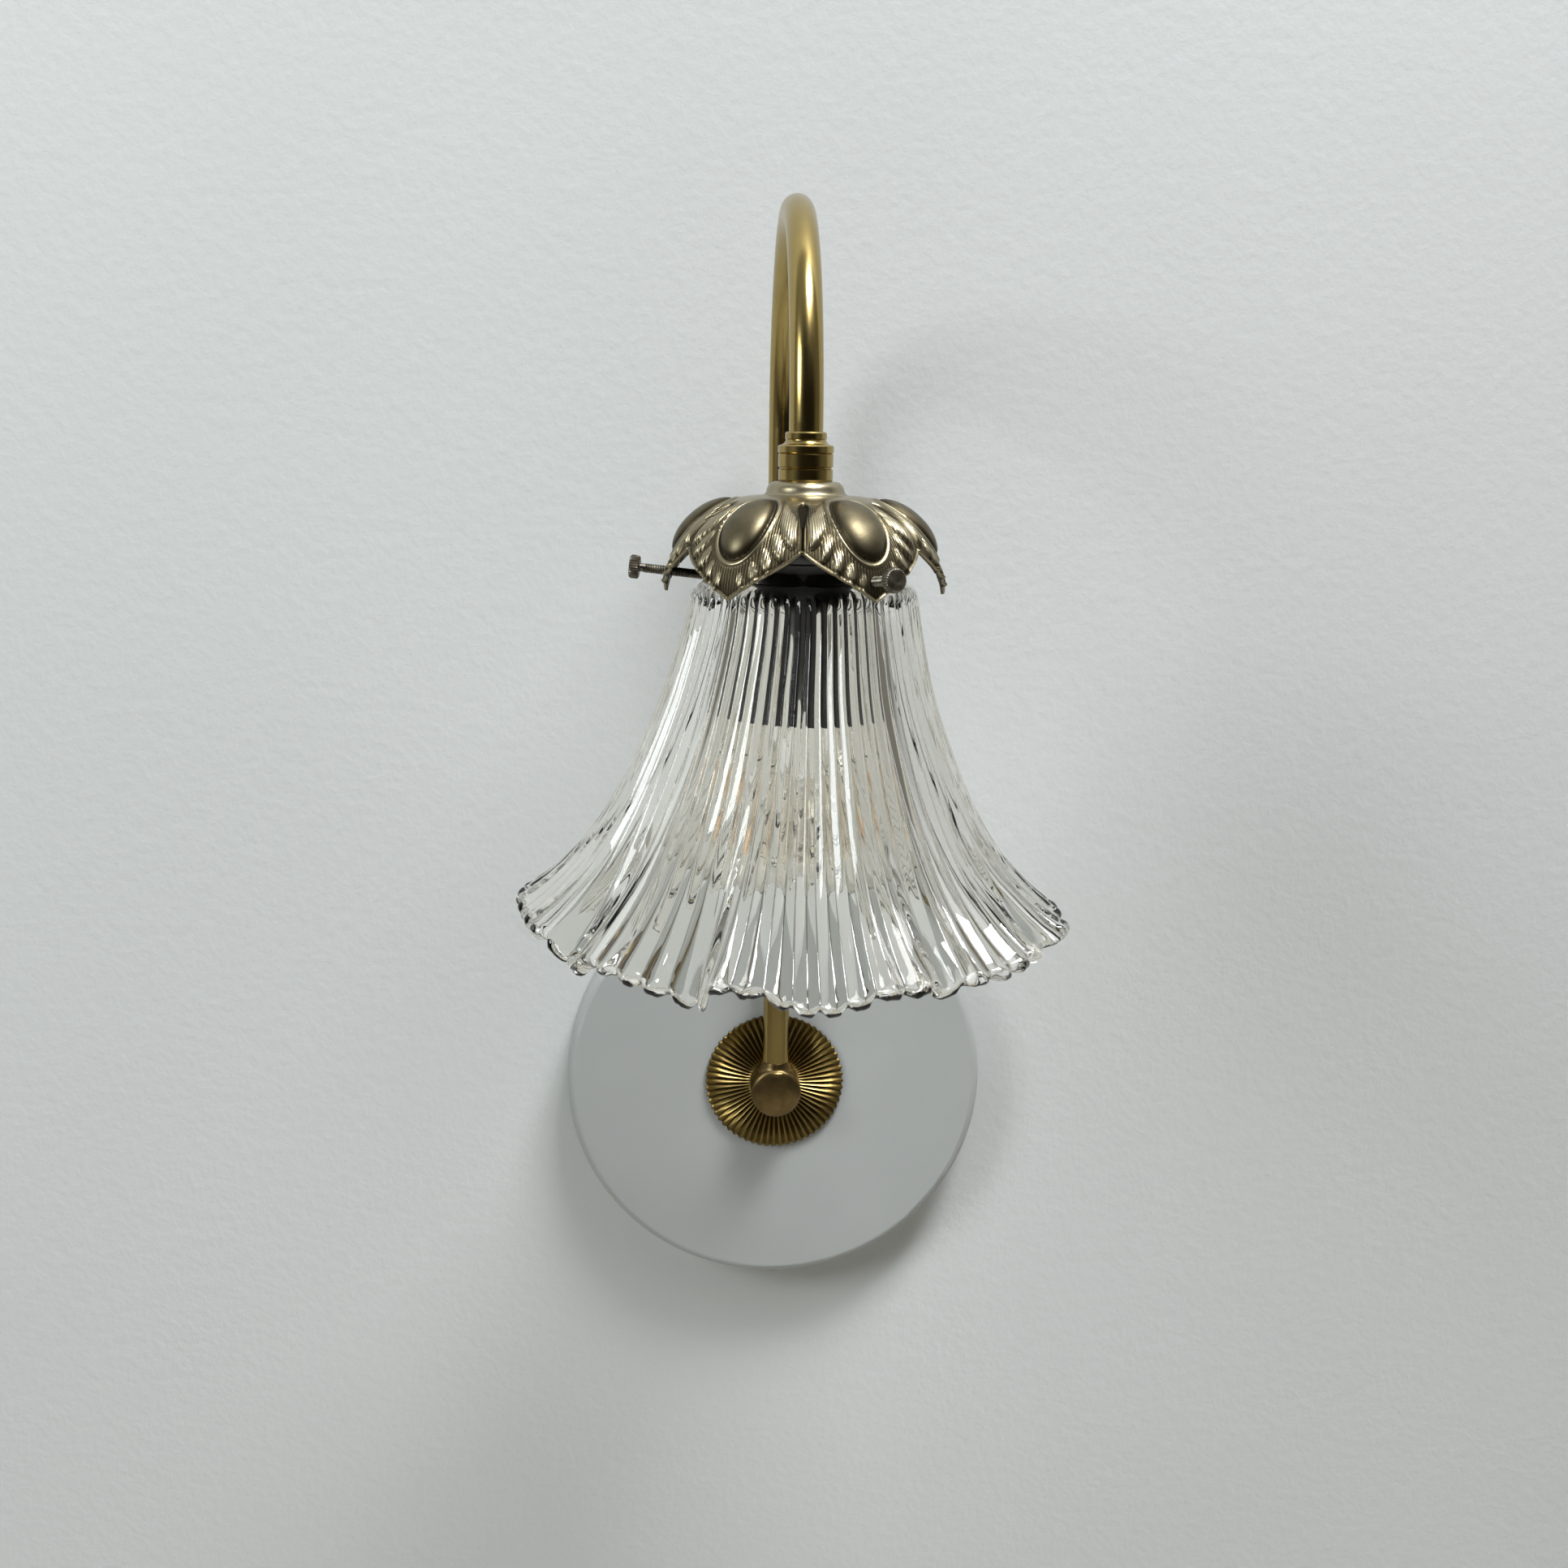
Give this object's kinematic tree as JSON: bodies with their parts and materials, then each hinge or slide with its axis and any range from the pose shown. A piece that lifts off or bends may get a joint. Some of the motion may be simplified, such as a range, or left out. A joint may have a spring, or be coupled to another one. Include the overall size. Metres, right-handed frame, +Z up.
{
  "type": "wall sconce",
  "caption": "Swan-neck brass wall light with a round wall plate, a fluted rosette, a leaf gallery and a ruffled bell shade of clear ribbed glass.",
  "frame": {"origin": "on the wall's face, behind the rosette's centre and midway between the two wall slots", "axes": "+Z up, +X right as seen from the room, +Y into the wall"},
  "size_m": [0.1761, 0.2486, 0.4101],
  "materials": {
    "painted_plate": "matt powder coat, pale grey",
    "zinc_steel": "zinc-plated steel",
    "fluted_brass": "stamped brass, lacquered",
    "aged_brass": "aged brass, lacquered",
    "polished_brass": "polished, lacquered",
    "antique_brass": "satin antique brass, dark in the recesses",
    "dark_bronze": "dark bronzed steel",
    "clear_glass": "clear pressed glass",
    "black_plastic": "black moulded plastic",
    "white_ceramic": "unglazed",
    "nickel_brass": "nickel plated",
    "bulb_clear": "clear blown glass",
    "black_glass": "dark insulator",
    "solder": "solder",
    "filament": "amber coating",
    "white_plastic": "moulded",
    "wire_brown": "insulation",
    "wire_blue": "insulation"
  },
  "bodies": {
    "fixture": {"wall_plate": "painted_plate", "mounting_bar": "zinc_steel", "plate_side_screws": "zinc_steel", "rosette": "fluted_brass", "wall_nipple": "zinc_steel", "lock_washer": "zinc_steel", "wall_lock_nut": "zinc_steel", "knuckle": "aged_brass", "arm_tube": "polished_brass", "coupler": "polished_brass", "gallery_nipple": "zinc_steel", "gallery_lock_nut": "zinc_steel", "leaf_gallery": "antique_brass", "glass_shade": "clear_glass", "holder_cap": "black_plastic", "holder_body": "black_plastic", "holder_insert": "white_ceramic", "threaded_shell": "nickel_brass", "centre_contact": "nickel_brass", "holder_terminals": "nickel_brass", "terminal_block": "white_plastic", "terminal_screws": "zinc_steel", "earth_screw": "zinc_steel", "wire_live": "wire_brown", "wire_neutral": "wire_blue"},
    "lamp": {"bulb_glass": "bulb_clear", "bulb_cap": "nickel_brass", "bulb_insulator": "black_glass", "bulb_contact": "solder", "bulb_stem": "bulb_clear", "bulb_filaments": "filament"},
    "thumb_screw_front": {"thumb_screw_front": "dark_bronze"},
    "thumb_screw_back": {"thumb_screw_back": "dark_bronze"},
    "thumb_screw_left": {"thumb_screw_left": "dark_bronze"}
  },
  "joints": [
    {"name": "thumb_screw_front_travel", "type": "slide", "parent": "fixture", "child": "thumb_screw_front", "axis": [0.425, -0.8991, 0.1045], "range_m": [0, 0.009]},
    {"name": "thumb_screw_back_travel", "type": "slide", "parent": "fixture", "child": "thumb_screw_back", "axis": [0.5662, 0.8176, 0.1045], "range_m": [0, 0.009]},
    {"name": "thumb_screw_left_travel", "type": "slide", "parent": "fixture", "child": "thumb_screw_left", "axis": [-0.9912, 0.0815, 0.1045], "range_m": [0, 0.009]},
    {"name": "lamp_thread", "type": "slide", "parent": "fixture", "child": "lamp", "axis": [0, 0, -1], "range_m": [0, 0.012]}
  ]
}
